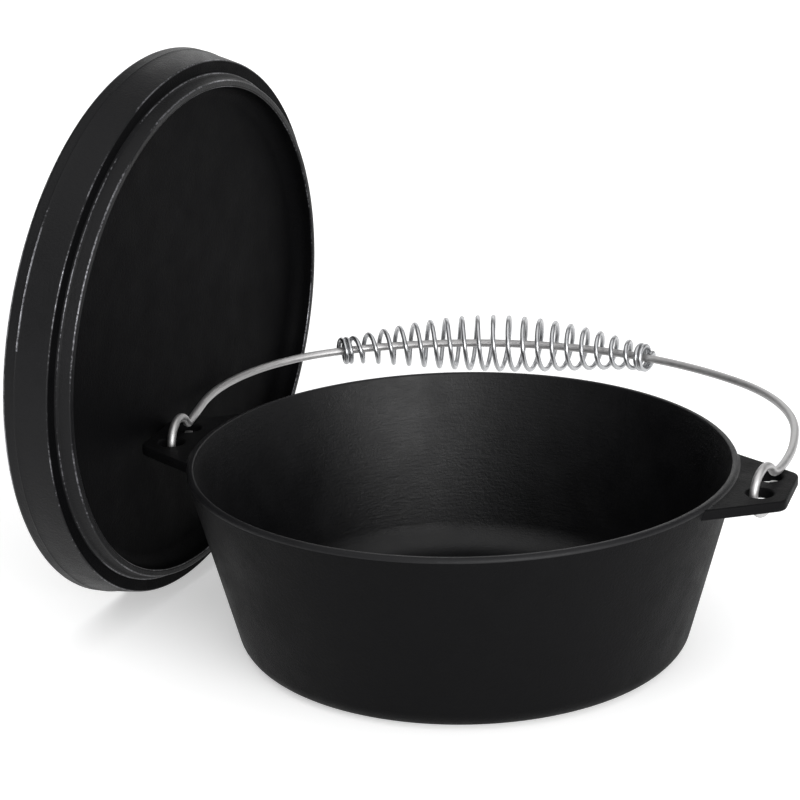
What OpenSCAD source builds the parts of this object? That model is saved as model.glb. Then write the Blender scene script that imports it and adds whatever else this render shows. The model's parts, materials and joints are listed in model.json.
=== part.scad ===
// Cast iron oven for an open fire: a deep flat-bottomed pot with two pierced ears,
// a wire bail whose eyes go through the ears, a coiled wire grip on the bail,
// and a lid with a raised coal rim that stands beside the pot, leaning on one ear.
// Millimetres. The origin is the centre of the pot's base, X runs from ear to ear,
// Y runs to the side on which the bail lies, and Z is up.

/* [Pot] */
// Outside radius of the pot at its rim
rim_radius = 155; // [135:1:180]
// Height of the pot from base to rim
pot_height = 109; // [85:1:140]
// Lean of the pot's wall from the vertical, in degrees
wall_taper = 14.8; // [5:0.1:18]
// Thickness of the pot's wall, measured level
wall = 4.5; // [4.3:0.1:8]
// Thickness of the pot's floor
floor_thick = 5.5; // [4:0.1:10]
// Outside radius between the wall and the base
foot_radius = 14; // [8:0.5:20]
// Inside radius between the wall and the floor
heel_radius = 20; // [10:0.5:28]
// Rounding of the rim's outer edge
rim_round = 2.5; // [1:0.1:2.7]
// Rounding of the rim's inner edge
rim_ease = 1; // [0.4:0.1:1.2]

/* [Ears] */
// Reach of each ear beyond the rim
ear_reach = 31; // [28:0.5:40]
// Width of each ear where it leaves the rim
ear_root = 92; // [84:1:104]
// Width of each ear at its outer end
ear_tip = 44; // [40:0.5:50]
// Thickness of the ears
ear_thick = 6; // [4.5:0.1:8]
// Depth of the ears' upper face below the rim
ear_drop = 2; // [1.5:0.1:5]
// Rounding of the ears' outer corners
ear_corner = 7; // [3:0.5:10]
// Rounding where an ear's side runs into the pot
ear_fillet = 8; // [4:0.5:12]
// Diameter of the holes in the ears
hole_d = 15; // [13:0.1:16]
// Distance between the two holes of an ear
hole_pitch = 26; // [24:0.1:30]
// Distance of the holes beyond the rim
hole_out = 15.5; // [14:0.1:18]

/* [Bail] */
// Diameter of the bail's wire
wire_d = 4.8; // [4:0.1:6]
// Distance from the rim back to the middle of the crown
crown_gap = 35.6; // [30:0.1:48]
// How far the flat crown stands past the round of the shoulders
crown_rise = 20.6; // [16:0.1:30]
// Distance of the shoulders' centres behind the pivots
shoulder_back = 60; // [52:0.5:70]
// How far the legs spread beyond the pivots
leg_flare = 5; // [3.5:0.1:7]
// Rise of the bail above level as it lies back, in degrees
bail_rise = 2; // [1.5:0.1:4]
// Gap between the bail's legs and the ears on which they rest
rest_gap = 0.3; // [0.3:0.05:0.6]
// Swell of the wire where one bend runs into the next
bend_swell = 0.06; // [0.04:0.01:0.2]
// How far the right eye is turned outwards, in degrees
right_twist = 15; // [0:1:18]

/* [Grip] */
// Diameter of the grip's wire
coil_wire = 2.5; // [1.8:0.1:2.8]
// Length of the grip along the bail
grip_length = 198; // [170:1:206]
// Open turns between the close ends
open_turns = 19; // [15:1:21]
// Close turns at each end
close_turns = 2; // [1:1:3]
// Gap between the close turns
close_gap = 0.6; // [0.6:0.05:1]
// Radius of the coil's centre line at its ends
coil_end_radius = 7.3; // [7:0.1:9]
// Radius of the coil's centre line at its middle
coil_mid_radius = 16.5; // [10:0.1:18]
// Power that sets how full the barrel is
barrel_power = 1.2; // [0.8:0.05:1.6]
// Bend radius of the ends that turn in to the bail
tail_bend = 1.8; // [1.6:0.1:2]
// Gap between the turned-in ends and the bail
tail_gap = 0.3; // [0.3:0.05:0.6]
// How far the grip has slid from the middle of the crown towards the lid
grip_shift = 32; // [0:1:34]

/* [Lid] */
// How far the lid's seat stands out past the pot's rim
lid_overhang = 3; // [1:0.1:6]
// How far the lid's outer wall spreads from its seat to its top
lid_flare = 4.5; // [2:0.1:8]
// Height of the coal rim above the seat
lid_height = 26; // [22:0.5:36]
// Width of the coal rim at its top
coal_rim = 5; // [4.2:0.1:8]
// Spread of the coal rim's inner wall
tray_draft = 2; // [1:0.1:3]
// Thickness of the lid's plate
lid_plate = 5; // [4:0.1:7]
// Depth of the locating lip below the seat
lip_depth = 8; // [6:0.1:11]
// Width of the lip's lower face
lip_face = 4.2; // [3.5:0.1:6]
// Clearance between the lip and the pot's wall
lip_clear = 1.2; // [0.8:0.1:2]
// Depth of the lid's hollow underside, from the lip's face
recess_depth = 12; // [11:0.1:14]
// Rounding in the corners of the hollow and of the coal tray
lid_fillet = 8; // [4:0.5:9]
// Rounding of the coal rim's outer edge
lid_round = 2.5; // [1:0.1:3]
// Rounding of the lip's lower edges and of the seat's outer edge
lip_round = 1; // [0.5:0.1:1.6]

/* [Lid handle] */
// Radius of the loop's centre line
loop_radius = 20; // [18:0.5:26]
// Thickness of the loop
loop_d = 10; // [8:0.5:12]
// Straight part of the loop above the plate
loop_leg = 4; // [2:0.5:8]

/* [Lid as it stands] */
// Lean of the lid towards the pot, in degrees
lid_lean = 4; // [3:0.1:6]
// Turn of the lid about the vertical, in degrees
lid_yaw = 7; // [4:0.5:9]
// How far the lid stands back along its own face
lid_shift = 16; // [8:1:24]
// Gap between the lid's underside and the ear on which it leans
lean_gap = 0.4; // [0.3:0.05:0.8]
// Gap between the lid's underside and the bail as the bail swings
swing_gap = 0.6; // [0.5:0.05:1]

/* [Hidden] */
$fn = 96;
iron = "#26262a";
bright_steel = "#c4c6c9";
// Small overlap that makes a cut run clean through a face
past = 1;

// Pot: radii of the tapered wall at a height, and the centres of its roundings
taper = tan(wall_taper);
slant = 1 / cos(wall_taper);
function outer_r(z) = rim_radius - (pot_height - z) * taper;
function inner_r(z) = outer_r(z) - wall;
foot_c = [outer_r(foot_radius) - foot_radius * slant, foot_radius];
heel_c = [inner_r(floor_thick + heel_radius) - heel_radius * slant, floor_thick + heel_radius];
rim_c = [outer_r(pot_height - rim_round) - rim_round * slant, pot_height - rim_round];
ease_c = [inner_r(pot_height - rim_ease) + rim_ease * slant, pot_height - rim_ease];
wall_out = [cos(wall_taper), -sin(wall_taper)];

// Ears: the straight side from the rim to the outer end, and its two roundings
ear_top = pot_height - ear_drop;
pivot_z = ear_top - ear_thick / 2;
hole_x = rim_radius + hole_out;
ear_end = rim_radius + ear_reach;
side_start = [sqrt(pow(rim_radius, 2) - pow(ear_root / 2, 2)), ear_root / 2];
side_end = [ear_end, ear_tip / 2];
side_dir = (side_end - side_start) / norm(side_end - side_start);
side_out = [-side_dir[1], side_dir[0]];
corner_x = ear_end - ear_corner;
corner_y = side_start[1] - (ear_corner + (corner_x - side_start[0]) * side_out[0]) / side_out[1];
corner_c = [corner_x, corner_y];
fillet_base = side_start + side_out * ear_fillet;
fillet_b = fillet_base * side_dir;
fillet_q = fillet_base * fillet_base - pow(rim_radius + ear_fillet, 2);
fillet_c = fillet_base + side_dir * (sqrt(pow(fillet_b, 2) - fillet_q) - fillet_b);

// Bail: the eyes turn about the pivot line, and the bow lies in a plane just above it
eye_radius = hole_pitch / 2;
rest_at = eye_radius + hole_d / 2;
plane_up = ear_thick / 2 + wire_d / 2 + rest_gap - rest_at * tan(bail_rise);
leg_back = sqrt(pow(eye_radius, 2) - pow(plane_up, 2));
bail_reach = rim_radius + crown_gap;
shoulder_r = bail_reach - shoulder_back - crown_rise;
shoulder_c = [hole_x + leg_flare - shoulder_r, shoulder_back];
crown_more = (pow(shoulder_c[0], 2) + pow(crown_rise, 2)) / (2 * crown_rise);
crown_r = shoulder_r + crown_more;
crown_y = bail_reach - crown_r;
crown_from = acos(shoulder_c[0] / crown_more);
// A leg runs from its eye, which may be turned out by a twist, to touch the round of the shoulder
function leg_start(twist) = [hole_x + leg_back * sin(twist), leg_back * cos(twist)];
function leg_turn(twist) =
    let (ray = leg_start(twist) - shoulder_c)
        atan2(ray[1], ray[0]) + acos(shoulder_r / norm(ray));
function leg_end(twist) = shoulder_c + shoulder_r * [cos(leg_turn(twist)), sin(leg_turn(twist))];
crown_start = shoulder_c + shoulder_r * [cos(crown_from), sin(crown_from)];

// Grip: one wire that runs in from the bail, winds as a barrel along the crown and runs back
rings_a_turn = 8;
wire_sides = 6;
bend_rings = 4;
all_turns = open_turns + 2 * close_turns;
close_pitch = coil_wire + close_gap;
open_pitch = (grip_length - 2 * close_turns * close_pitch) / open_turns;
grip_start = -grip_shift - grip_length / 2;
tail_end = wire_d / 2 + tail_gap;
tail_turn = asin(tail_bend / (coil_end_radius - tail_bend));
function along(t) = grip_start + close_pitch * min(t, close_turns)
    + open_pitch * min(max(t - close_turns, 0), open_turns)
    + close_pitch * max(t - close_turns - open_turns, 0);
function swell(t) = 1 - abs(2 * (t - close_turns) / open_turns - 1);
function coil_r(t) = coil_end_radius
    + (coil_mid_radius - coil_end_radius) * pow(sin(90 * max(swell(t), 0)), barrel_power);
// A point beside the crown's centre line: out from the bow, and up from its plane
function beside(s, out, up) =
    let (a = s / crown_r * 180 / PI)
    [(crown_r + out) * sin(a), crown_y + (crown_r + out) * cos(a), up];
function turned(s, r, a) = beside(s, r * cos(a), r * sin(a));
// The bend between the coil and its straight end, at side -1 for the start and 1 for the finish
function bend_point(s, side, b) =
    beside(s, coil_end_radius - tail_bend + tail_bend * cos(b), side * tail_bend * sin(b));
bend_full = 90 + tail_turn;
bend_steps = [for (i = [1 : bend_rings]) bend_full * i / bend_rings];
coil_path = concat(
    [turned(along(0), tail_end, -tail_turn)],
    [for (i = [bend_rings - 1 : -1 : 0]) bend_point(along(0), -1, bend_steps[i])],
    [for (i = [0 : all_turns * rings_a_turn])
        turned(along(i / rings_a_turn), coil_r(i / rings_a_turn), 360 * i / rings_a_turn)],
    [for (b = bend_steps) bend_point(along(all_turns), 1, b)],
    [turned(along(all_turns), tail_end, tail_turn)]
);
path_last = len(coil_path) - 1;
function unit(v) = v / norm(v);
function heading(i) = unit(coil_path[min(i + 1, path_last)] - coil_path[max(i - 1, 0)]);
function bow_dir(p) = unit([p[1] - crown_y, -p[0], 0]);
function ring(i) =
    let (
        p = coil_path[i],
        t = heading(i),
        n = unit(bow_dir(p) - (bow_dir(p) * t) * t),
        m = cross(t, n)
    )
    [for (k = [0 : wire_sides - 1])
        p + coil_wire / 2 * (cos(360 * k / wire_sides) * n + sin(360 * k / wire_sides) * m)];
// Least distance between turns, taken on the centre line with points between the rings
turn_gaps = [
    for (i = [0 : path_last - 1])
        for (j = [i + rings_a_turn - 2 : min(i + rings_a_turn + 2, path_last - 1)])
            for (f = [0, 0.5])
                for (g = [0, 0.25, 0.5, 0.75])
                    norm(coil_path[i] + f * (coil_path[i + 1] - coil_path[i])
                        - coil_path[j] - g * (coil_path[j + 1] - coil_path[j]))
];
echo(least_gap_between_turns = min(turn_gaps) - coil_wire);

// Lid: radii about its own axis, with heights from the seat, and where it stands
seat_r = rim_radius + lid_overhang;
flare_tan = lid_flare / lid_height;
flare_slant = sqrt(1 + pow(flare_tan, 2));
flare_out = [1, -flare_tan] / flare_slant;
edge_z = lid_height - lid_round;
edge_c = [seat_r + edge_z * flare_tan - lid_round * flare_slant, edge_z];
lip_r = rim_radius - wall - lip_clear;
lip_low_r = lip_r - lip_depth * taper;
recess_r = lip_low_r - lip_face;
under_z = recess_depth - lip_depth;
tray_z = under_z + lid_plate;
tray_r = seat_r + lid_flare - coal_rim - tray_draft;
lid_centre_z = edge_c[0] * cos(lid_lean) - edge_c[1] * sin(lid_lean) + lid_round;
facing = cos(lid_lean) * cos(lid_yaw);
ear_need = cos(lid_lean) * (cos(lid_yaw) * corner_c[0] + sin(lid_yaw) * corner_c[1] + ear_corner)
    + sin(lid_lean) * ear_top + lean_gap;
bail_need = sin(lid_lean) * pivot_z + facing * shoulder_c[0] + sqrt(1 - pow(facing, 2)) * shoulder_back
    + shoulder_r + wire_d / 2 + swing_gap;
lid_away = (max(ear_need, bail_need) - lid_centre_z * sin(lid_lean) - under_z) / cos(lid_lean);

// Pot, with its ears cast on
module pot_outside() {
    polygon([
        [0, 0],
        [foot_c[0], 0],
        foot_c,
        foot_c + foot_radius * wall_out,
        rim_c + rim_round * wall_out,
        rim_c,
        [rim_c[0], pot_height],
        [0, pot_height]
    ]);
    translate(foot_c) circle(foot_radius);
    translate(rim_c) circle(rim_round);
}

module pot_hollow() {
    polygon([
        [0, floor_thick],
        [heel_c[0], floor_thick],
        heel_c,
        heel_c + heel_radius * wall_out,
        ease_c - rim_ease * wall_out,
        [ease_c[0] - rim_ease * slant, pot_height + past],
        [0, pot_height + past]
    ]);
    translate(heel_c) circle(heel_radius);
    difference() {
        polygon([
            ease_c - rim_ease * wall_out,
            ease_c,
            [ease_c[0], pot_height + past],
            [ease_c[0] - rim_ease * slant, pot_height + past]
        ]);
        translate(ease_c) circle(rim_ease);
    }
}

module ear_half() {
    polygon([
        [side_start[0] - ear_reach, 0],
        [ear_end, 0],
        [ear_end, corner_c[1]],
        corner_c,
        corner_c + ear_corner * side_out,
        side_start,
        [side_start[0] - ear_reach, side_start[1]]
    ]);
    translate(corner_c) circle(ear_corner);
    difference() {
        polygon([
            fillet_c - ear_fillet * side_out,
            fillet_c,
            fillet_c * rim_radius / norm(fillet_c),
            fillet_c * (rim_radius - wall) / norm(fillet_c),
            side_start * (rim_radius - wall) / rim_radius
        ]);
        translate(fillet_c) circle(ear_fillet);
    }
}

module ear() {
    translate([0, 0, ear_top - ear_thick])
        linear_extrude(ear_thick) {
            ear_half();
            mirror([0, 1]) ear_half();
        }
}

module ear_holes() {
    for (y = [-1, 1] * hole_pitch / 2)
        translate([hole_x, y, ear_top - ear_thick - past])
            cylinder(d = hole_d, h = ear_thick + 2 * past);
}

module pot() {
    color(iron)
        difference() {
            union() {
                rotate_extrude() pot_outside();
                ear();
                mirror([1, 0, 0]) ear();
            }
            rotate_extrude() pot_hollow();
            ear_holes();
            mirror([1, 0, 0]) ear_holes();
        }
}

// Lid, drawn flat with its seat at height 0 and then stood against the ear
module lid_outside() {
    polygon([
        [0, -lip_depth],
        [lip_low_r - lip_round, -lip_depth],
        [lip_low_r + lip_round * taper, lip_round - lip_depth],
        [lip_r, 0],
        [seat_r - lip_round, 0],
        [seat_r + lip_round * flare_tan, lip_round],
        edge_c + lid_round * flare_out,
        edge_c,
        [edge_c[0], lid_height],
        [0, lid_height]
    ]);
    translate(edge_c) circle(lid_round);
}

module lid_recess() {
    polygon([
        [0, -lip_depth - past],
        [recess_r, -lip_depth - past],
        [recess_r, under_z - lid_fillet],
        [recess_r - lid_fillet, under_z - lid_fillet],
        [recess_r - lid_fillet, under_z],
        [0, under_z]
    ]);
    translate([recess_r - lid_fillet, under_z - lid_fillet]) circle(lid_fillet);
}

module coal_tray() {
    polygon([
        [0, lid_height + past],
        [tray_r + tray_draft, lid_height + past],
        [tray_r + tray_draft, lid_height],
        [tray_r, tray_z + lid_fillet],
        [tray_r - lid_fillet, tray_z + lid_fillet],
        [tray_r - lid_fillet, tray_z],
        [0, tray_z]
    ]);
    translate([tray_r - lid_fillet, tray_z + lid_fillet]) circle(lid_fillet);
}

module lid_loop() {
    translate([0, 0, tray_z + loop_leg])
        rotate([90, 0, 90])
            rotate_extrude(angle = 180)
                translate([loop_radius, 0]) circle(d = loop_d);
    for (y = [-1, 1] * loop_radius)
        translate([0, y, tray_z - lid_plate / 2])
            cylinder(d = loop_d, h = loop_leg + lid_plate / 2);
}

module lid() {
    color(iron)
        rotate([0, 0, -lid_yaw])
            translate([-lid_away, lid_shift, lid_centre_z])
                rotate([0, lid_lean - 90, 0]) {
                    rotate_extrude()
                        difference() {
                            lid_outside();
                            lid_recess();
                            coal_tray();
                        }
                    lid_loop();
                }
}

// Bail, lying back on the ears behind the rim
module lying_back() {
    translate([0, 0, pivot_z]) rotate([bail_rise, 0, 0]) children();
}

module bow(centre, radius, from, to) {
    translate([centre[0], centre[1], plane_up])
        rotate([0, 0, from])
            rotate_extrude(angle = to - from)
                translate([radius, 0]) circle(d = wire_d);
}

module bend_joint(at) {
    translate([at[0], at[1], plane_up]) sphere(d = wire_d + bend_swell);
}

module bail_side(twist) {
    from = leg_start(twist);
    run = leg_end(twist) - from;
    translate([hole_x, 0, 0])
        rotate([0, 90, -twist])
            rotate_extrude()
                translate([eye_radius, 0]) circle(d = wire_d);
    bend_joint(from);
    translate([from[0], from[1], plane_up])
        rotate([0, 90, atan2(run[1], run[0])])
            cylinder(d = wire_d, h = norm(run));
    bend_joint(leg_end(twist));
    bow(shoulder_c, shoulder_r, leg_turn(twist), crown_from);
    bend_joint(crown_start);
}

module bail() {
    color(bright_steel)
        lying_back() {
            bail_side(right_twist);
            mirror([1, 0, 0]) bail_side(0);
            bow([0, crown_y], crown_r, crown_from, 180 - crown_from);
        }
}

// Grip, one coiled wire along the crown of the bail
module grip_spring() {
    rings = [for (i = [0 : path_last]) ring(i)];
    points = [for (r = rings) for (p = r) p];
    start_cap = [for (k = [1 : wire_sides - 2]) [0, k, k + 1]];
    first = path_last * wire_sides;
    end_cap = [for (k = [1 : wire_sides - 2]) [first, first + k + 1, first + k]];
    walls = [
        for (i = [0 : path_last - 1])
            for (k = [0 : wire_sides - 1])
                let (a = i * wire_sides + k, b = i * wire_sides + (k + 1) % wire_sides)
                    for (face = [[a, a + wire_sides, b], [b, a + wire_sides, b + wire_sides]]) face
    ];
    color(bright_steel)
        lying_back()
            translate([0, 0, plane_up])
                polyhedron(points, concat(start_cap, end_cap, walls));
}

pot();
lid();
bail();
grip_spring();
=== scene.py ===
# %% [markdown]
# # A cast iron oven with a wire bail
# Four things make this object: a cast pot with two pierced ears, a cast lid, a bail bent from one wire,
# and a grip wound from a thinner wire. The CAD model is loaded first as a fixed frame, and each visible
# piece is then modelled over it, so that edges are softened, wires are round and surfaces look cast.

# %% The frame
import json
import math

import bpy
from mathutils import Matrix, Vector, geometry


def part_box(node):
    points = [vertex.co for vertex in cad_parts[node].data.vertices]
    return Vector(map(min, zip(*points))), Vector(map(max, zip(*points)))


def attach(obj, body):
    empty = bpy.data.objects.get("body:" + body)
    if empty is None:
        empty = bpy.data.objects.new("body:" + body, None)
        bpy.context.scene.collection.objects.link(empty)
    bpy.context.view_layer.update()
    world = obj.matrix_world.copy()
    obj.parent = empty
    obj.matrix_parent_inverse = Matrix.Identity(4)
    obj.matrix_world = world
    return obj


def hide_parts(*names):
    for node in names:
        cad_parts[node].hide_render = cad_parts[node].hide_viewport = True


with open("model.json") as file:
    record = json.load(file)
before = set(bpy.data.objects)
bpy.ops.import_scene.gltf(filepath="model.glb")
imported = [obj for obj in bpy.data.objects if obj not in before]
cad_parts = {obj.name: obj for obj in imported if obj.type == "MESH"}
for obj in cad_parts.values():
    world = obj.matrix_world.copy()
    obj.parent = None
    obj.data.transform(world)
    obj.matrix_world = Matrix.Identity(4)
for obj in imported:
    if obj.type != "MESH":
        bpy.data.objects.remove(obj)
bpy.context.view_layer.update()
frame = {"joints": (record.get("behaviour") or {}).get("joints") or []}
joints = {joint["name"]: joint for joint in frame["joints"]}
mm = 0.001

# %% [markdown]
# ## Camera
# The photograph was taken from a little above the rim, slightly to the right of the pot's front, through a
# long lens: the ellipses of rim and base are almost equally open. The camera looks at a point near the
# rim's left part, so no lens shift is needed to place the object in the frame.

# %% Camera
camera_azimuth = math.radians(18.21)
camera_elevation = math.radians(18.52)
camera_roll = math.radians(-1.45)
camera_distance = 1443 * mm
camera_aim = Vector((-35.6, 0, 139)) * mm
lens_mm = 115.8

level = math.cos(camera_elevation)
towards_camera = Vector((
    math.sin(camera_azimuth) * level,
    -math.cos(camera_azimuth) * level,
    math.sin(camera_elevation),
))
bpy.ops.object.camera_add(location=camera_aim + towards_camera * camera_distance)
camera = bpy.context.object
camera.name = "camera"
camera.rotation_mode = "QUATERNION"
look = (-towards_camera).to_track_quat("-Z", "Y")
camera.rotation_quaternion = look @ Matrix.Rotation(camera_roll, 3, "Z").to_quaternion()
camera.data.sensor_width = 36
camera.data.lens = lens_mm
bpy.context.scene.camera = camera
print("camera at", [round(v, 3) for v in camera.location])

# %% [markdown]
# ## Stage and light
# The oven stands on white paper. Black iron shows its form only by what it mirrors, so the light is made of
# large soft sources: a scrim overhead, which lights the lid's edge and the floor, a low softbox in front
# and to the right, which gives the broad sheen inside the pot, and a faint scrim behind for the back edges.
# The floor and the low sky are white only where they are seen, so they add no light to the iron.

# %% Helpers for colours and nodes
def linear(hex_colour):
    """A colour written as sRGB hex, as the linear values that a shader takes."""
    values = [int(hex_colour[i:i + 2], 16) / 255 for i in (1, 3, 5)]
    return (*[v / 12.92 if v <= 0.04045 else ((v + 0.055) / 1.055) ** 2.4 for v in values], 1)


def add_node(tree, kind, **settings):
    """Adds a node. Each setting is a property, a socket's value, or another node's output to link."""
    node = tree.nodes.new(kind)
    for name, value in settings.items():
        if name.islower():
            setattr(node, name, value)
            continue
        socket = node.inputs[name.replace("_", " ")]
        if isinstance(value, bpy.types.NodeSocket):
            tree.links.new(value, socket)
        else:
            socket.default_value = value
    return node


def new_tree(block):
    """The empty node tree of a material or of the world."""
    block.use_nodes = True
    block.node_tree.nodes.clear()
    return block.node_tree


def when_seen(tree, unseen, seen):
    """A strength with another value for what is seen straight, mirrored or through glass."""
    path = add_node(tree, "ShaderNodeLightPath").outputs
    strength = unseen
    for ray in ("Is Glossy Ray", "Is Transmission Ray", "Is Camera Ray"):
        strength = add_node(tree, "ShaderNodeMix", Factor=path[ray], A=strength, B=seen).outputs["Result"]
    return strength


print("white paper in linear values", [round(v, 3) for v in linear("#f2f2f2")])

# %% World
scene = bpy.context.scene
scene.view_settings.view_transform = "Standard"

room_light = 0.15
white_up_to, dim_from = 0.16, 0.3  # heights in the sky, as sines of the angle above the horizon
world = bpy.data.worlds.new("dim_studio")
scene.world = world
tree = new_tree(world)
direction = add_node(tree, "ShaderNodeTexCoord").outputs["Generated"]
height = add_node(tree, "ShaderNodeSeparateXYZ", Vector=direction).outputs["Z"]
low_sky = add_node(tree, "ShaderNodeMapRange", Value=height, From_Min=white_up_to, From_Max=dim_from,
                   To_Min=1.0, To_Max=room_light)
walls = add_node(tree, "ShaderNodeBackground", Color=linear("#ffffff"),
                 Strength=when_seen(tree, room_light, low_sky.outputs[0]))
add_node(tree, "ShaderNodeOutputWorld", Surface=walls.outputs[0])
print("world", world.name, "lights with", room_light)

# %% Lamps
lamp_aim_mm = Vector((0, 0, 100))


def place_lamp(name, kind, azimuth, elevation, distance_mm):
    """A lamp that faces the middle of the oven, from a direction in degrees."""
    turn, tilt = math.radians(azimuth), math.radians(elevation)
    away = Vector((math.sin(turn) * math.cos(tilt), -math.cos(turn) * math.cos(tilt), math.sin(tilt)))
    bpy.ops.object.light_add(type=kind, location=(lamp_aim_mm + away * distance_mm) * mm)
    lamp = bpy.context.object
    lamp.name = name
    lamp.rotation_euler = away.to_track_quat("Z", "Y").to_euler()
    return lamp.data


overhead = place_lamp("overhead_scrim", "SUN", azimuth=20, elevation=72, distance_mm=1500)
overhead.angle = math.radians(85)
overhead.energy = 1.7

front = place_lamp("front_softbox", "AREA", azimuth=40, elevation=14, distance_mm=1600)
front.shape = "RECTANGLE"
front.size, front.size_y = 1.3, 0.7
front.energy = 22

behind = place_lamp("back_scrim", "AREA", azimuth=190, elevation=28, distance_mm=2000)
behind.shape = "RECTANGLE"
behind.size, behind.size_y = 1.8, 0.8
behind.energy = 7


# %% Floor
def white_paper(name, paper_hex, glow):
    """A matt white sweep. It glows a little where it is seen, straight or mirrored, so that it is white."""
    material = bpy.data.materials.new(name)
    tree = new_tree(material)
    paper = add_node(tree, "ShaderNodeBsdfPrincipled", Base_Color=linear(paper_hex), Roughness=1.0,
                     Specular_IOR_Level=0.0, Emission_Color=linear("#ffffff"),
                     Emission_Strength=when_seen(tree, 0.0, glow))
    add_node(tree, "ShaderNodeOutputMaterial", Surface=paper.outputs[0])
    return material


floor_width = 30
paper_glow = 0.42
bpy.ops.object.select_all(action="DESELECT")
bpy.ops.mesh.primitive_plane_add(size=floor_width, location=(0, 0, 0))
floor = bpy.context.object
floor.name = "floor"
floor.data.materials.append(white_paper("white_paper", "#f2f2f2", paper_glow))
print("floor", floor_width, "m wide")

# %% [markdown]
# ## Finishes
# Seasoned cast iron is iron under a thin baked coat of oil: almost black, satin, with the fine grain of the
# sand mould still in it. It comes in five sorts here: plain on the pot's outside, oiled on the lid, matt in
# the lid's recess and on its seat, where it is also darker as a painted shade, smooth on the rim, and turned
# inside the pot, where the grain runs round the wall in faint streaks. A photograph could be laid over each
# piece, but it would stretch and end at a seam. Noise with its scale worked out from a real size holds from
# every side, and one function makes all five sorts.

# %% Seasoned cast iron
noise_low, noise_high = 0.3, 0.7  # most of a noise pattern lies between these


def cast_iron(name, dark, light, rough, shine, grain_depth_mm, streaks):
    """Sand-cast iron with a baked coat: black blotches, uneven satin, mould grain over a soft swell."""
    material = bpy.data.materials.new(name)
    tree = new_tree(material)
    place = add_node(tree, "ShaderNodeTexCoord").outputs["Object"]
    blotch_mm, swell_mm, swell_depth_mm = 22, 9, 0.35
    streak_mm, streak_stretch = 1.9, 0.22
    grain_mm = 1.5  # mould sand is about 0.5 mm, drawn coarser so that it survives at this picture size
    satin_range = 0.07
    blotches = add_node(tree, "ShaderNodeTexNoise", Vector=place, Scale=1 / (blotch_mm * mm), Detail=6.0,
                        Roughness=0.65)
    colours = add_node(tree, "ShaderNodeMix", data_type="RGBA", Factor=blotches.outputs["Fac"],
                       A=linear(dark), B=linear(light))
    satin = add_node(tree, "ShaderNodeMapRange", Value=blotches.outputs["Fac"], From_Min=noise_low,
                     From_Max=noise_high, To_Min=rough - satin_range, To_Max=rough + satin_range)
    grain = add_node(tree, "ShaderNodeTexNoise", Vector=place, Scale=1 / (grain_mm * mm), Detail=4.0,
                     Roughness=0.7)
    round_wall = add_node(tree, "ShaderNodeMapping", Vector=place,
                          Scale=(streak_stretch, streak_stretch, 1.0))
    turned = add_node(tree, "ShaderNodeTexNoise", Vector=round_wall.outputs[0], Scale=1 / (streak_mm * mm),
                      Detail=4.0, Roughness=0.7)
    height = add_node(tree, "ShaderNodeMix", Factor=streaks, A=grain.outputs["Fac"],
                      B=turned.outputs["Fac"])
    swell = add_node(tree, "ShaderNodeTexNoise", Vector=place, Scale=1 / (swell_mm * mm), Detail=2.0)
    waves = add_node(tree, "ShaderNodeBump", Height=swell.outputs["Fac"], Strength=0.3,
                     Distance=swell_depth_mm * mm)
    relief = add_node(tree, "ShaderNodeBump", Height=height.outputs["Result"], Normal=waves.outputs[0],
                      Strength=0.7, Distance=grain_depth_mm * mm)
    iron = add_node(tree, "ShaderNodeBsdfPrincipled", Base_Color=colours.outputs["Result"],
                    Roughness=satin.outputs[0], Normal=relief.outputs[0], IOR=1.5, Specular_IOR_Level=shine)
    add_node(tree, "ShaderNodeOutputMaterial", Surface=iron.outputs[0])
    print("finish", name)
    return material


sand_cast = cast_iron("seasoned_sand_cast_iron", "#09090a", "#111112", rough=0.52, shine=0.045,
                      grain_depth_mm=0.45, streaks=0.0)
oiled_side = cast_iron("oiled_sand_cast_iron", "#0a0a0b", "#141416", rough=0.46, shine=0.17,
                       grain_depth_mm=0.4, streaks=0.0)
# Darker and duller than the lid's side: a painted shade for the lid's recess and seat.
recess_shade_iron = cast_iron("shaded_matt_cast_iron", "#060607", "#0c0c0d", rough=0.6, shine=0.03,
                        grain_depth_mm=0.4, streaks=0.0)
handled_rim = cast_iron("handled_rim_iron", "#101011", "#19191b", rough=0.44, shine=0.2,
                        grain_depth_mm=0.3, streaks=0.0)
turned_inside = cast_iron("seasoned_turned_iron", "#060607", "#0e0e10", rough=0.42, shine=0.3,
                          grain_depth_mm=0.6, streaks=0.5)

# %% [markdown]
# Where pieces rub, on the seat and lip of the lid, the coat is worn through and the bare edge glints. The
# wear could be painted by hand. Here fine specks and wide patches decide together how bare the iron is, so
# that the glint comes and goes along the edge, and only the faces on the edges get this finish.

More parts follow.
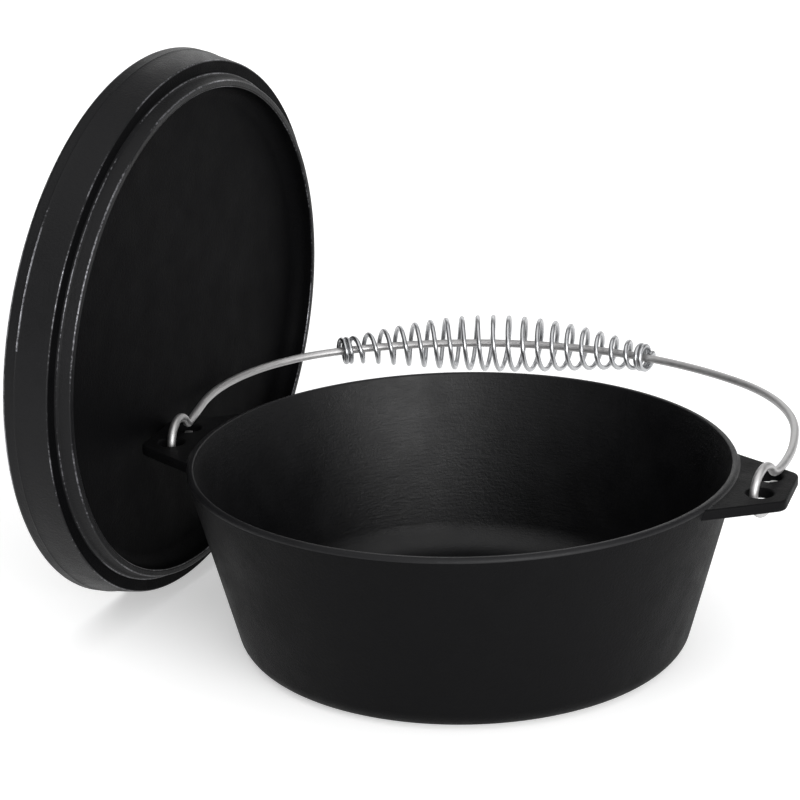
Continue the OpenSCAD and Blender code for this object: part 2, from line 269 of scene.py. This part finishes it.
# %% Rubbed edges
def rubbed_iron(name):
    """Edges on which the coat is rubbed through: bright specks of bare iron that come and go."""
    material = bpy.data.materials.new(name)
    tree = new_tree(material)
    place = add_node(tree, "ShaderNodeTexCoord").outputs["Object"]
    speck_mm, patch_mm, patch_share = 1.8, 55, 0.55
    bare_from, bare_to = 0.46, 0.6
    specks = add_node(tree, "ShaderNodeTexNoise", Vector=place, Scale=1 / (speck_mm * mm), Detail=4.0,
                      Roughness=0.7)
    patches = add_node(tree, "ShaderNodeTexNoise", Vector=place, Scale=1 / (patch_mm * mm), Detail=2.0,
                       Roughness=0.5)
    wear = add_node(tree, "ShaderNodeMix", Factor=patch_share, A=specks.outputs["Fac"],
                    B=patches.outputs["Fac"])
    bare = add_node(tree, "ShaderNodeMapRange", Value=wear.outputs["Result"], From_Min=bare_from,
                    From_Max=bare_to)
    colours = add_node(tree, "ShaderNodeMix", data_type="RGBA", Factor=bare.outputs[0],
                       A=linear("#101012"), B=linear("#8a8a8e"))
    iron = add_node(tree, "ShaderNodeBsdfPrincipled", Base_Color=colours.outputs["Result"],
                    Metallic=bare.outputs[0], Roughness=0.36, Specular_IOR_Level=0.2)
    add_node(tree, "ShaderNodeOutputMaterial", Surface=iron.outputs[0])
    print("finish", name)
    return material


# This finish is real wear on the edges, and a painted highlight on one stretch of the lid's seam.
rubbed_edge_and_glint = rubbed_iron("rubbed_iron_edge_and_glint")

# %% [markdown]
# Both wires are zinc-plated steel: a metal with its default IOR, softly bright, with slight cloudiness in
# the plating. The bail has gone duller than the grip, so it is rougher. A plain grey metal would look like
# plastic here, because it is the uneven roughness that breaks up the long highlight on a wire.

# %% Zinc-plated wire
def plated_wire(name, dull, bright, rough):
    """Drawn steel wire with zinc on it: a satin metal, faintly clouded, with a soft highlight."""
    material = bpy.data.materials.new(name)
    tree = new_tree(material)
    place = add_node(tree, "ShaderNodeTexCoord").outputs["Object"]
    cloud_mm, cloud_depth_mm = 2.5, 0.05
    smoother, rougher = 0.06, 0.08
    cloud = add_node(tree, "ShaderNodeTexNoise", Vector=place, Scale=1 / (cloud_mm * mm), Detail=4.0,
                     Roughness=0.6)
    colours = add_node(tree, "ShaderNodeMix", data_type="RGBA", Factor=cloud.outputs["Fac"],
                       A=linear(dull), B=linear(bright))
    satin = add_node(tree, "ShaderNodeMapRange", Value=cloud.outputs["Fac"], From_Min=noise_low,
                     From_Max=noise_high, To_Min=rough - smoother, To_Max=rough + rougher)
    relief = add_node(tree, "ShaderNodeBump", Height=cloud.outputs["Fac"], Strength=0.25,
                      Distance=cloud_depth_mm * mm)
    zinc = add_node(tree, "ShaderNodeBsdfPrincipled", Base_Color=colours.outputs["Result"], Metallic=1.0,
                    Roughness=satin.outputs[0], Normal=relief.outputs[0])
    add_node(tree, "ShaderNodeOutputMaterial", Surface=zinc.outputs[0])
    print("finish", name)
    return material


bail_zinc = plated_wire("zinc_plated_bail_wire", "#aeadad", "#c9c8c8", rough=0.5)
grip_zinc = plated_wire("zinc_plated_grip_wire", "#a8a9ab", "#c6c7c9", rough=0.32)

# %% [markdown]
# ## Drawing and turning
# A revolved casting is made as on a lathe: its profile is drawn by extruding one vertex from point to
# point, and Spin carries the chain once round the axis. A Screw modifier would do the same, but Spin leaves
# a mesh that can be worked on at once. The same pen draws the flat outline of an ear and a wire's route.

# %% Pen and lathe
def start_clean():
    """Back to object mode with nothing selected."""
    if bpy.context.object and bpy.context.object.mode != "OBJECT":
        bpy.ops.object.mode_set(mode="OBJECT")
    bpy.ops.object.select_all(action="DESELECT")


def arc(centre, radius, start, stop, steps):
    """Points of an arc in a plane, from angle start to stop, in degrees."""
    angles = [math.radians(start + (stop - start) * i / steps) for i in range(steps + 1)]
    return [(centre[0] + radius * math.cos(a), centre[1] + radius * math.sin(a)) for a in angles]


def draw_chain(name, points):
    """Leaves the pen's chain of edges in edit mode. Points are in millimetres."""
    start_clean()
    bpy.ops.mesh.primitive_plane_add(size=2 * mm, location=(0, 0, 0))
    piece = bpy.context.object
    piece.name = name
    piece.data.name = name
    bpy.ops.object.mode_set(mode="EDIT")
    bpy.ops.mesh.select_mode(type="VERT")
    bpy.ops.mesh.select_all(action="SELECT")
    bpy.ops.mesh.merge(type="CENTER")
    bpy.ops.transform.translate(value=Vector(points[0]) * mm)
    for here, there in zip(points, points[1:]):
        step = (Vector(there) - Vector(here)) * mm
        bpy.ops.mesh.extrude_vertices_move(TRANSFORM_OT_translate={"value": step})
    return piece


def close_seams(gap_mm=0.002):
    """In edit mode, merges the points that meet at seams and poles and turns all faces outwards."""
    bpy.ops.mesh.select_all(action="SELECT")
    bpy.ops.mesh.remove_doubles(threshold=gap_mm * mm)
    bpy.ops.mesh.normals_make_consistent(inside=False)
    bpy.ops.object.mode_set(mode="OBJECT")


def turn_on_lathe(name, profile, steps):
    """Spins a profile of (radius, height) points round the vertical axis into a closed solid."""
    piece = draw_chain(name, [(r, 0, z) for r, z in profile])
    bpy.ops.mesh.select_all(action="SELECT")
    bpy.ops.mesh.spin(steps=steps, angle=2 * math.pi, center=(0, 0, 0), axis=(0, 0, 1))
    close_seams()
    print(name, "turned from", len(profile), "points")
    return piece


# %% [markdown]
# The rest of the bench work is the same for all pieces: one is taken in hand, its place goes into its mesh,
# another solid is joined on or cut away, and at the end it is smoothed and set in place of its CAD node.

# %% Bench work
def take(piece):
    """Object mode, with this piece alone selected and active."""
    start_clean()
    bpy.context.view_layer.objects.active = piece
    piece.select_set(True)


def settle(piece):
    """Puts a piece's place and turn into its mesh."""
    take(piece)
    bpy.ops.object.transform_apply(location=True, rotation=True, scale=True)


def combine(target, tool, operation):
    """Joins a tool solid to the target or cuts it away, and removes the tool."""
    take(target)
    cut = target.modifiers.new("combine", "BOOLEAN")
    cut.operation = operation
    cut.solver = "EXACT"
    cut.object = tool
    bpy.ops.object.modifier_apply(modifier=cut.name)
    bpy.data.objects.remove(tool)


def coat(piece, finishes):
    """Gives a piece its finishes. The first covers it all."""
    piece.data.materials.clear()
    for finish in finishes:
        piece.data.materials.append(finish)


def dress(piece, body, node, angle=35):
    """Smooths a finished piece and sets it in place of its CAD node."""
    take(piece)
    bpy.ops.object.shade_smooth_by_angle(angle=math.radians(angle))
    even = piece.modifiers.new("even_shading", "WEIGHTED_NORMAL")
    even.keep_sharp = True
    bpy.ops.object.modifier_apply(modifier=even.name)
    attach(piece, body)
    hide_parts(node)
    print(piece.name, len(piece.data.polygons), "faces")


# %% [markdown]
# ## Pot
# The real pot was poured in a sand mould: its wall leans out evenly from a large round at the base to a rim
# with a wide outer and a narrow inner round. A cylinder could be tapered and hollowed, but a bevel gives all
# edges one width. In a turned profile each round has its own radius. Rim and height come from the CAD box.

# %% Pot profile
_, pot_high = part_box("pot")
pot_height = pot_high[2] / mm
wall_taper = 14.8
wall = 4.5
floor_thick = 5.5
foot_radius = 14
heel_radius = 20
rim_round = 2.5
rim_ease = 1.0
lathe_steps = 240

taper = math.tan(math.radians(wall_taper))
slant = 1 / math.cos(math.radians(wall_taper))
rim_radius = pot_high[1] / mm + rim_round * (taper + slant - 1)


def outer_r(z):
    """Radius of the pot's outer wall at a height."""
    return rim_radius - (pot_height - z) * taper


foot_c = (outer_r(foot_radius) - foot_radius * slant, foot_radius)
rim_c = (outer_r(pot_height - rim_round) - rim_round * slant, pot_height - rim_round)
ease_c = (outer_r(pot_height - rim_ease) - wall + rim_ease * slant, pot_height - rim_ease)
heel_z = floor_thick + heel_radius
heel_c = (outer_r(heel_z) - wall - heel_radius * slant, heel_z)
wall_stations = [30, 50, 70, 85, 95, 101]
pot_profile = [
    (0, 0),
    *arc(foot_c, foot_radius, -90, -wall_taper, 12),
    *[(outer_r(z), z) for z in wall_stations],
    *arc(rim_c, rim_round, -wall_taper, 90, 8),
    *arc(ease_c, rim_ease, 90, 180 - wall_taper, 5),
    *[(outer_r(z) - wall, z) for z in reversed(wall_stations)],
    *arc(heel_c, heel_radius, -wall_taper, -90, 14),
    (0, floor_thick),
]
pot = turn_on_lathe("pot_casting", pot_profile, lathe_steps)
print("rim radius", round(rim_radius, 2), "height", round(pot_height, 2))

# %% [markdown]
# ## Ears
# Each ear is a flat plate, narrower towards its end, with rounded corners and a soft run into the wall. It
# could start from a cube, but its outline is what the eye knows it by, so that is drawn and extruded. Two
# holes are cut through it, and its edges get the small round that a sand mould leaves.

# %% Ear outline
ear_drop = 2
ear_thick = 6
ear_root_half = 46
ear_tip_half = 22
ear_corner = 8
ear_fillet = 8
ear_bury = 1.5
root_sink = 1.2

ear_top = pot_height - ear_drop
ear_end = pot_high[0] / mm
inside_wall = rim_radius - wall / 2 - ear_bury
root_radius = outer_r(ear_top - ear_thick) - root_sink
side_start = Vector((math.sqrt(rim_radius ** 2 - ear_root_half ** 2), ear_root_half))
side_dir = (Vector((ear_end, ear_tip_half)) - side_start).normalized()
side_out = Vector((-side_dir.y, side_dir.x))
corner_x = ear_end - ear_corner
corner_y = side_start.y - (ear_corner + (corner_x - side_start.x) * side_out.x) / side_out.y
fillet_base = side_start + side_out * ear_fillet
fillet_b = fillet_base.dot(side_dir)
fillet_q = fillet_base.length_squared - (root_radius + ear_fillet) ** 2
fillet_c = fillet_base + side_dir * (math.sqrt(fillet_b ** 2 - fillet_q) - fillet_b)
side_angle = math.degrees(math.atan2(side_out.y, side_out.x))
root_angle = math.degrees(math.atan2(fillet_c.y, fillet_c.x))

half_outline = [
    *arc((corner_x, corner_y), ear_corner, 0, side_angle, 10),
    *arc(fillet_c, ear_fillet, side_angle - 180, root_angle - 180, 8),
]
root_arc = arc((0, 0), inside_wall, root_angle, -root_angle, 24)
ear_outline = half_outline + root_arc + [(x, -y) for x, y in reversed(half_outline)]
print("ear outline", len(ear_outline), "points, ends at", round(ear_end, 1))

# %% Ears
hole_d = 15
hole_sides = 64
hole_half_pitch = 13
hole_out = 15.5
hole_x = rim_radius + hole_out
ear_edge = 1.2
root_margin = 0.05


def cut_hole(plate, y):
    """Drills one hole through the plate."""
    start_clean()
    bpy.ops.mesh.primitive_cylinder_add(vertices=hole_sides, radius=hole_d / 2 * mm,
                                        depth=4 * ear_thick * mm,
                                        location=(hole_x * mm, y * mm, ear_top * mm))
    combine(plate, bpy.context.object, "DIFFERENCE")


def soften_ear(plate):
    """Rounds the plate's free edges. The root lies inside the pot's wall and stays sharp."""
    take(plate)
    bpy.ops.object.mode_set(mode="EDIT")
    bpy.ops.mesh.select_mode(type="EDGE")
    bpy.ops.mesh.select_all(action="DESELECT")
    bpy.ops.mesh.edges_select_sharp(sharpness=math.radians(60))
    bpy.ops.object.mode_set(mode="OBJECT")
    for edge in plate.data.edges:
        ends = [plate.data.vertices[i].co for i in edge.vertices]
        if any(math.hypot(p.x, p.y) < (root_radius + root_margin) * mm for p in ends):
            edge.select = False
    bpy.ops.object.mode_set(mode="EDIT")
    bpy.ops.mesh.bevel(offset=ear_edge * mm, segments=4, profile=0.5)
    bpy.ops.object.mode_set(mode="OBJECT")


def make_ear(name):
    """One pierced ear at the right-hand end of the pot."""
    plate = draw_chain(name, [(x, y, ear_top) for x, y in ear_outline])
    bpy.ops.mesh.select_all(action="SELECT")
    bpy.ops.mesh.edge_face_add()
    bpy.ops.mesh.extrude_region_move(TRANSFORM_OT_translate={"value": (0, 0, -ear_thick * mm)})
    close_seams()
    for y in (-hole_half_pitch, hole_half_pitch):
        cut_hole(plate, y)
    soften_ear(plate)
    return plate


right_ear = make_ear("right_ear")
left_ear = make_ear("left_ear")
left_ear.rotation_euler = (0, 0, math.pi)
settle(left_ear)
for ear in (right_ear, left_ear):
    combine(pot, ear, "UNION")
print("pot with ears", len(pot.data.polygons), "faces")

# %% [markdown]
# In the mould the ear and the rim are one hollow, so no sharp corner is left between them. A bevel along
# that corner would meet the cut faces of the union. A cove fills the corner instead: its small section is
# spun along the ear's root, and its two ends are drawn together until they all but vanish in the rim.

# %% Coves between ears and rim
cove_run = 4.0
cove_rise = 1.5
cove_half = math.radians(16.5)
cove_sink = 0.05
cove_depth = 2
cove_steps = 36
section_steps = 8
end_share = 0.2
end_left = 0.1


def rim_at(z):
    """Radius of the rim's outer round at a height."""
    return rim_c[0] + math.sqrt(rim_round ** 2 - (z - rim_c[1]) ** 2)


rim_at_ear = rim_at(ear_top)
cove_low = Vector((rim_at_ear + cove_run, ear_top - cove_sink))
cove_corner = Vector((rim_at_ear, ear_top))
cove_high = Vector((rim_at(ear_top + cove_rise) - cove_sink, ear_top + cove_rise))
cove_profile = [
    tuple(cove_low.lerp(cove_corner, t).lerp(cove_corner.lerp(cove_high, t), t))
    for t in (i / section_steps for i in range(section_steps + 1))
]
cove_bottom = ear_top - cove_depth
cove_profile += [(rim_c[0], ear_top), (rim_c[0], cove_bottom), (cove_low.x, cove_bottom)]


def make_cove(name, facing):
    """The cove of one ear, which faces a direction. The points themselves tell which way Spin went."""
    cove = draw_chain(name, [(r, 0, z) for r, z in cove_profile])
    bpy.ops.mesh.select_all(action="SELECT")
    bpy.ops.mesh.edge_face_add()
    bpy.ops.mesh.spin(steps=cove_steps, angle=2 * cove_half, center=(0, 0, 0), axis=(0, 0, 1))
    close_seams()
    middle = math.copysign(cove_half, sum(v.co.y for v in cove.data.vertices))
    for vertex in cove.data.vertices:
        radius = math.hypot(vertex.co.x, vertex.co.y)
        beyond = abs(math.atan2(vertex.co.y, vertex.co.x) - middle) / cove_half
        share = 1 - (1 - end_left) * max(0, (beyond - (1 - end_share)) / end_share) ** 2
        thin = (rim_at_ear * mm + (radius - rim_at_ear * mm) * share) / radius
        vertex.co.x *= thin
        vertex.co.y *= thin
        vertex.co.z = ear_top * mm + (vertex.co.z - ear_top * mm) * share
    cove.rotation_euler = (0, 0, facing - middle)
    settle(cove)
    return cove


for side, facing in (("right", 0), ("left", math.pi)):
    combine(pot, make_cove(side + "_cove", facing), "UNION")
print("pot with coves", len(pot.data.polygons), "faces")

# %% [markdown]
# One casting shows three finishes: sand-cast outside, turned inside, and smooth on the rim, where hands and
# lid keep it so. It could be cut into three pieces, but then it would have seams. Each finish is a slot of
# the one mesh instead, and the faces for it are picked by their place and normal.

# %% Pot finishes
up_facing = 0.9
ease_band = 1.2
rim_band = 0.3


def paint_faces(piece, slot_index, test):
    """Gives a finish to the faces whose centre and normal pass a test. Lengths are in millimetres."""
    count = 0
    for face in piece.data.polygons:
        if test(face.center / mm, face.normal):
            face.material_index = slot_index
            count += 1
    print(piece.name, "slot", slot_index, "on", count, "faces")


def inside_pot(at, normal):
    """True on the turned inside, from the floor up to the start of the rim's inner round."""
    radius = math.hypot(at.x, at.y)
    towards_axis = radius < 1 or normal.z > up_facing or normal.x * at.x + normal.y * at.y < 0
    return radius < outer_r(at.z) - wall + ease_band and at.z > floor_thick - 1 and towards_axis


def on_rim(at, normal):
    """True on the rim's top and its two rounds."""
    radius = math.hypot(at.x, at.y)
    return at.z > rim_c[1] - rim_band and radius < rim_radius


coat(pot, [sand_cast, turned_inside, handled_rim])
paint_faces(pot, 1, inside_pot)
paint_faces(pot, 2, on_rim)
dress(pot, "pot", "pot")

# %% [markdown]
# ## Lid
# The lid is a second casting. Below its seat is the lip that centres it in the pot, above it the coal rim,
# and round its side runs the fine seam where the halves of the mould met. It is turned flat, with its seat
# at height 0, because a profile is easier to draw and check that way than on the leaning lid.

# %% Lid sizes
seat_out = 3
lid_flare = 4.5
lid_height = 26
coal_rim = 5
tray_draft = 2
lid_plate = 5
lip_depth = 8
lip_face = 4.2
lip_gap = 1.2
recess_depth = 12
lid_fillet = 8
lid_round = 2.5
lip_round = 1.0
side_stations = [8, 14]
seam_z = 18.5
seam_half = 0.7
seam_proud = 0.35
plate_rings = [34, 60, 100]

seat_r = rim_radius + seat_out
flare_tan = lid_flare / lid_height
flare = math.degrees(math.atan(flare_tan))
edge_z = lid_height - lid_round
edge_c = (seat_r + edge_z * flare_tan - lid_round / math.cos(math.radians(flare)), edge_z)
under_z = recess_depth - lip_depth
tray_z = under_z + lid_plate
tray_r = seat_r + lid_flare - coal_rim - tray_draft
lip_r = rim_radius - wall - lip_gap
lip_low_r = lip_r - lip_depth * taper
recess_r = lip_low_r - lip_face
print("lid seat radius", round(seat_r, 1), "lip radius", round(lip_r, 1))

# %% Lid profile
# The lip's root has a small bead, given by steps out from the lip and heights from the seat.
root_step = 1.2
lip_root = [(-root_step * taper, -root_step - 0.6), (0.5, -root_step), (1.1, -root_step + 0.35), (1.3, 0)]
lid_profile = [
    (0, under_z),
    *[(r, under_z) for r in plate_rings],
    *arc((recess_r - lid_fillet, under_z - lid_fillet), lid_fillet, 90, 0, 10),
    *arc((recess_r + lip_round, lip_round - lip_depth), lip_round, 180, 270, 4),
    *arc((lip_low_r - lip_round, lip_round - lip_depth), lip_round, 270, 360 - wall_taper, 4),
    *[(lip_r + out, z) for out, z in lip_root],
    *arc((seat_r - lip_round, lip_round), lip_round, 270, 360 - flare, 4),
    *[(seat_r + z * flare_tan, z) for z in (*side_stations, seam_z - seam_half)],
    (seat_r + seam_z * flare_tan + seam_proud, seam_z),
    (seat_r + (seam_z + seam_half) * flare_tan, seam_z + seam_half),
    *arc(edge_c, lid_round, -flare, 90, 8),
    *arc((tray_r + tray_draft + lip_round, lid_height - lip_round), lip_round, 90, 180, 4),
    *arc((tray_r - lid_fillet, tray_z + lid_fillet), lid_fillet, 0, -90, 10),
    *[(r, tray_z) for r in reversed(plate_rings)],
    (0, tray_z),
]
lid = turn_on_lathe("lid_casting", lid_profile, lathe_steps)

# %% [markdown]
# The loop on the lid's top is cast on. Half a torus would stand on the plate with a hard corner, so Spin
# bends a round bar through half a turn, and its two ends are extruded down and spread into the plate.

# %% Lid loop
loop_radius = 20
loop_d = 10
loop_leg = 4
loop_base = tray_z + loop_leg
loop_sides = 32
loop_steps = 32
foot_drops = [(-2.2, 1.0), (-1.4, 1.16), (-0.9, 1.3), (-1.5, 1.0)]  # each a drop and a spread
same_place = 0.01

start_clean()
bpy.ops.mesh.primitive_circle_add(vertices=loop_sides, radius=loop_d / 2 * mm, fill_type="NGON",
                                  location=(0, loop_radius * mm, loop_base * mm))
loop = bpy.context.object
loop.name = "lid_loop"
settle(loop)
bpy.ops.object.mode_set(mode="EDIT")
bpy.ops.mesh.select_all(action="SELECT")
bpy.ops.mesh.spin(steps=loop_steps, angle=math.pi, center=(0, 0, loop_base * mm), axis=(-1, 0, 0))
for side in (-1, 1):
    bpy.ops.mesh.select_mode(type="FACE")
    bpy.ops.mesh.select_all(action="DESELECT")
    bpy.ops.object.mode_set(mode="OBJECT")
    for face in loop.data.polygons:
        at_base = abs(face.center.z / mm - loop_base) < same_place
        on_side = abs(face.center.y / mm - side * loop_radius) < same_place
        face.select = at_base and on_side and len(face.vertices) == loop_sides
    bpy.ops.object.mode_set(mode="EDIT")
    for drop, spread in foot_drops:
        bpy.ops.mesh.extrude_region_move(TRANSFORM_OT_translate={"value": (0, 0, drop * mm)})
        bpy.ops.transform.resize(value=(spread, spread, 1),
                                 center_override=(0, side * loop_radius * mm, 0))
close_seams()
combine(lid, loop, "UNION")
print("lid with loop", len(lid.data.polygons), "faces")

# %% [markdown]
# The lid's side is oiled and handled, and its edges have rubbed on the pot. Its recess and flat seat get a
# darker matt finish, a painted shade. On the side, one stretch of the mould's seam gets the bright rubbed
# finish as a painted highlight. As on the pot, faces are picked by place and normal, while the lid still
# lies flat.

# %% Lid finishes
edge_band = 0.9
plate_band = 0.5
seat_from, seat_up = 1.1, 0.95
bead_from, bead_to = 0.4, 1.2
rim_out, rim_up = 1.9, 1.4
steepest, flattest = 0.35, 0.93
# Shares of the radius that bound the seam's painted highlight.
seam_glint_from, seam_glint_to = 0.18, 0.62


def lid_painted_shade(at, normal):
    """True on the recess and on the flat seat, which get a darker matt finish as painted shade."""
    radius = math.hypot(at.x, at.y)
    recess = radius < recess_r + edge_band and at.z < under_z + plate_band
    seat = lip_r + seat_from < radius < seat_r - edge_band and normal.z < -up_facing
    return recess or seat


def rubbed_lid_edge(at, normal):
    """True on the rounds of seat, lip and coal rim, and on one stretch of the mould's seam, where the bright
    finish is a painted highlight.
    """
    radius = math.hypot(at.x, at.y)
    on_round = steepest < abs(normal.z) < flattest
    seat_edge = radius > seat_r - edge_band and at.z < seat_up
    on_lip = radius > lip_low_r - edge_band or radius < recess_r + edge_band
    lip_edges = on_lip and at.z < edge_band - lip_depth
    step_edge = lip_r + bead_from < radius < lip_r + bead_to and -root_step - 0.1 < at.z < 0
    top_edge = radius > edge_c[0] + rim_out and edge_z < at.z < edge_z + rim_up
    on_seam = radius > seat_r and seam_z - seam_half < at.z < seam_z
    # Painted highlight: the bright rubbed finish on the stretch of the seam where the light catches it.
    painted_seam_glint = on_seam and at.y < 0 and seam_glint_from * radius < at.x < seam_glint_to * radius
    return on_round and (seat_edge or lip_edges or step_edge or top_edge) or painted_seam_glint


coat(lid, [oiled_side, recess_shade_iron, rubbed_edge_and_glint])
# The recess and the seat get the darker finish as painted shade.
paint_faces(lid, 1, lid_painted_shade)
# Slot 2 is real wear on the rounds, and a painted highlight on the seam's stretch.
paint_faces(lid, 2, rubbed_lid_edge)

# %% [markdown]
# Now the lid is stood up on its edge, turned a little and leant against the left ear. Its place and its turn
# come from the joint that takes it away, so it stands where the CAD lid does.

# %% Lid stand
lid_lean = math.radians(4)
lid_joint = joints["lid_away"]
lid_yaw = math.atan2(lid_joint["axis"][1], -lid_joint["axis"][0])
lid_centre = Vector(lid_joint["pos_m"])
lid.matrix_world = (Matrix.Translation(lid_centre) @ Matrix.Rotation(-lid_yaw, 4, "Z")
                    @ Matrix.Rotation(lid_lean - math.pi / 2, 4, "Y"))
settle(lid)
dress(lid, "lid", "lid")

# %% [markdown]
# ## Bail
# One wire makes the whole bail. Each end goes down through the back hole of an ear, under the bridge
# between the holes, up through the front hole and over, and turns sharply into the leg. From there the wire
# swings out over a shoulder and across the flat crown. It lies back on the ears, just above level. A curve
# could be drawn by eye, but it would miss the holes, so the route is worked out as a wire bender would.

# %% Bail sizes
wire_d = 4.8
wire_gap = 0.3
bail_rise = math.radians(2)
bail_beyond = 35.6
crown_rise = 20.6
shoulder_back = 60
shoulder_out = 5
eye_radius = hole_half_pitch
eye_gap = 22
eye_kink = 16
right_twist = 15
right_bow = 12

rest_at = eye_radius + hole_d / 2
plane_up = ear_thick / 2 + wire_d / 2 + wire_gap - rest_at * math.tan(bail_rise)
bail_reach = rim_radius + bail_beyond
shoulder_r = bail_reach - shoulder_back - crown_rise
shoulder_x = hole_x + shoulder_out - shoulder_r
crown_more = (shoulder_x ** 2 + crown_rise ** 2) / (2 * crown_rise)
crown_r = shoulder_r + crown_more
crown_y = bail_reach - crown_r
crown_from = math.degrees(math.acos(shoulder_x / crown_more))
exit_angle = math.degrees(math.asin(plane_up / eye_radius))
print("crown radius", round(crown_r, 1), "shoulder radius", round(shoulder_r, 1))

# %% Bail route
eye_steps = 44
leg_steps = 16
kink_steps = 8
kink_reach = 2
shoulder_steps = 24
crown_steps = 44


def on_eye(angle, twist):
    """A point of an eye's ring, at an angle from the bail's own plane. A twist turns the ring outwards."""
    back = eye_radius * math.cos(math.radians(angle))
    turn = math.radians(twist)
    up = eye_radius * math.sin(math.radians(angle))
    return (hole_x + back * math.sin(turn), back * math.cos(turn), up)


def bail_side(twist, bow):
    """The right half of the wire, from its cut end in the back hole to the start of the crown."""
    first, last = exit_angle - eye_gap, exit_angle + eye_kink - 360
    ring = [on_eye(first + (last - first) * i / eye_steps, twist) for i in range(eye_steps + 1)]
    leg_from = Vector(on_eye(exit_angle, twist))
    ray = leg_from.xy - Vector((shoulder_x, shoulder_back))
    leg_turn = math.degrees(math.atan2(ray.y, ray.x) + math.acos(shoulder_r / ray.length))
    shoulder = arc((shoulder_x, shoulder_back), shoulder_r, leg_turn + bow, crown_from, shoulder_steps)
    leg_to = Vector((*shoulder[0], plane_up))
    pull = (leg_to - leg_from).length / 3
    set_out, come_in = [
        Vector((-math.sin(a), math.cos(a), 0)) * pull
        for a in (math.radians(leg_turn - bow), math.radians(leg_turn + bow))
    ]
    leg = geometry.interpolate_bezier(leg_from, leg_from + set_out, leg_to - come_in, leg_to, leg_steps)
    steps = [i / kink_steps for i in range(1, kink_steps + 1)]
    kink = [Vector(ring[-1]).lerp(leg_from, t).lerp(leg_from.lerp(leg[kink_reach], t), t) for t in steps]
    bent = [tuple(point) for point in kink + leg[kink_reach + 1:-1]]
    return ring + bent + [(x, y, plane_up) for x, y in shoulder]


crown = arc((0, crown_y), crown_r, crown_from, 180 - crown_from, crown_steps)[1:-1]
bail_route = bail_side(right_twist, right_bow) + [(x, y, plane_up) for x, y in crown]
bail_route += [(-x, y, z) for x, y, z in reversed(bail_side(0, 0))]
print("bail route", len(bail_route), "points")


# %% Bail wire
def lay_back(point):
    """From the bail's own plane to its place on the ears."""
    pivot_z = joints["bail_swing"]["pos_m"][2] / mm
    x, y, z = point
    return Vector((
        x,
        y * math.cos(bail_rise) - z * math.sin(bail_rise),
        pivot_z + y * math.sin(bail_rise) + z * math.cos(bail_rise),
    ))


def wire(name, route, diameter, sides):
    """A round wire with closed ends: the drawn chain becomes a curve with a round section, then a mesh."""
    draw_chain(name, [lay_back(point) for point in route])
    bpy.ops.object.mode_set(mode="OBJECT")
    bpy.ops.object.convert(target="CURVE")
    path = bpy.context.object.data
    path.bevel_depth = diameter / 2 * mm
    path.bevel_resolution = sides // 4
    path.use_fill_caps = True
    bpy.ops.object.convert(target="MESH")
    bpy.ops.object.mode_set(mode="EDIT")
    close_seams(gap_mm=0.001)
    return bpy.context.object


bail = wire("bail_wire", bail_route, wire_d, sides=20)
coat(bail, [bail_zinc])
dress(bail, "bail", "bail", angle=50)

# %% [markdown]
# ## Grip
# The grip is a barrel coil of thinner wire, wound straight on to the crown: two close turns at each end,
# open turns between, widest in the middle. Its ends are turned in to the bail, which keeps the coil centred.
# A Screw modifier winds only about a straight line, so the turns are worked out along the crown's own curve.

# %% Coil along the crown
coil_wire = 2.5
grip_length = 198
grip_shift = 32
open_turns = 19
close_turns = 2
close_gap = 0.6
coil_end_radius = 7.3
coil_mid_radius = 16.5
barrel_power = 1.2

all_turns = open_turns + 2 * close_turns
close_pitch = coil_wire + close_gap
open_pitch = (grip_length - 2 * close_turns * close_pitch) / open_turns


def along(turn):
    """Distance along the crown after a number of turns."""
    opened = min(max(turn - close_turns, 0), open_turns)
    return -grip_shift - grip_length / 2 + open_pitch * opened + close_pitch * (turn - opened)


def coil_radius(turn):
    """Radius of the coil after a number of turns: a barrel between two plain ends."""
    swell = max(1 - abs(2 * (turn - close_turns) / open_turns - 1), 0)
    barrel = math.sin(math.pi / 2 * swell) ** barrel_power
    return coil_end_radius + (coil_mid_radius - coil_end_radius) * barrel


def beside(distance, out, up):
    """A point beside the crown's centre line: out from the bow and up from its plane."""
    angle = distance / crown_r
    return ((crown_r + out) * math.sin(angle), crown_y + (crown_r + out) * math.cos(angle), plane_up + up)


print("coil of", all_turns, "turns, open pitch", round(open_pitch, 2))

# %% Grip coil
wire_seen = 2.9  # as the photograph shows it, a little thicker than the wire that sets the close turns
tail_bend = 1.8
tail_gap = 0.45
bend_steps = 8
steps_a_turn = 28

tail_turn = math.asin(tail_bend / (coil_end_radius - tail_bend))
tail_end = wire_d / 2 + tail_gap


def tail(distance, side):
    """The bend and the straight end that lead from the coil in to the bail."""
    bend_c = coil_end_radius - tail_bend
    bend = [
        beside(distance, bend_c + tail_bend * math.cos(b), side * tail_bend * math.sin(b))
        for b in ((math.pi / 2 + tail_turn) * i / bend_steps for i in range(1, bend_steps + 1))
    ]
    return bend + [beside(distance, tail_end * math.cos(tail_turn), side * tail_end * math.sin(tail_turn))]


coil = []
for step in range(all_turns * steps_a_turn + 1):
    turn = step / steps_a_turn
    angle = 2 * math.pi * turn
    radius = coil_radius(turn)
    coil.append(beside(along(turn), radius * math.cos(angle), radius * math.sin(angle)))
coil_route = tail(along(0), -1)[::-1] + coil + tail(along(all_turns), 1)
grip = wire("grip_coil", coil_route, wire_seen, sides=12)
coat(grip, [grip_zinc])
dress(grip, "grip", "grip_spring", angle=50)
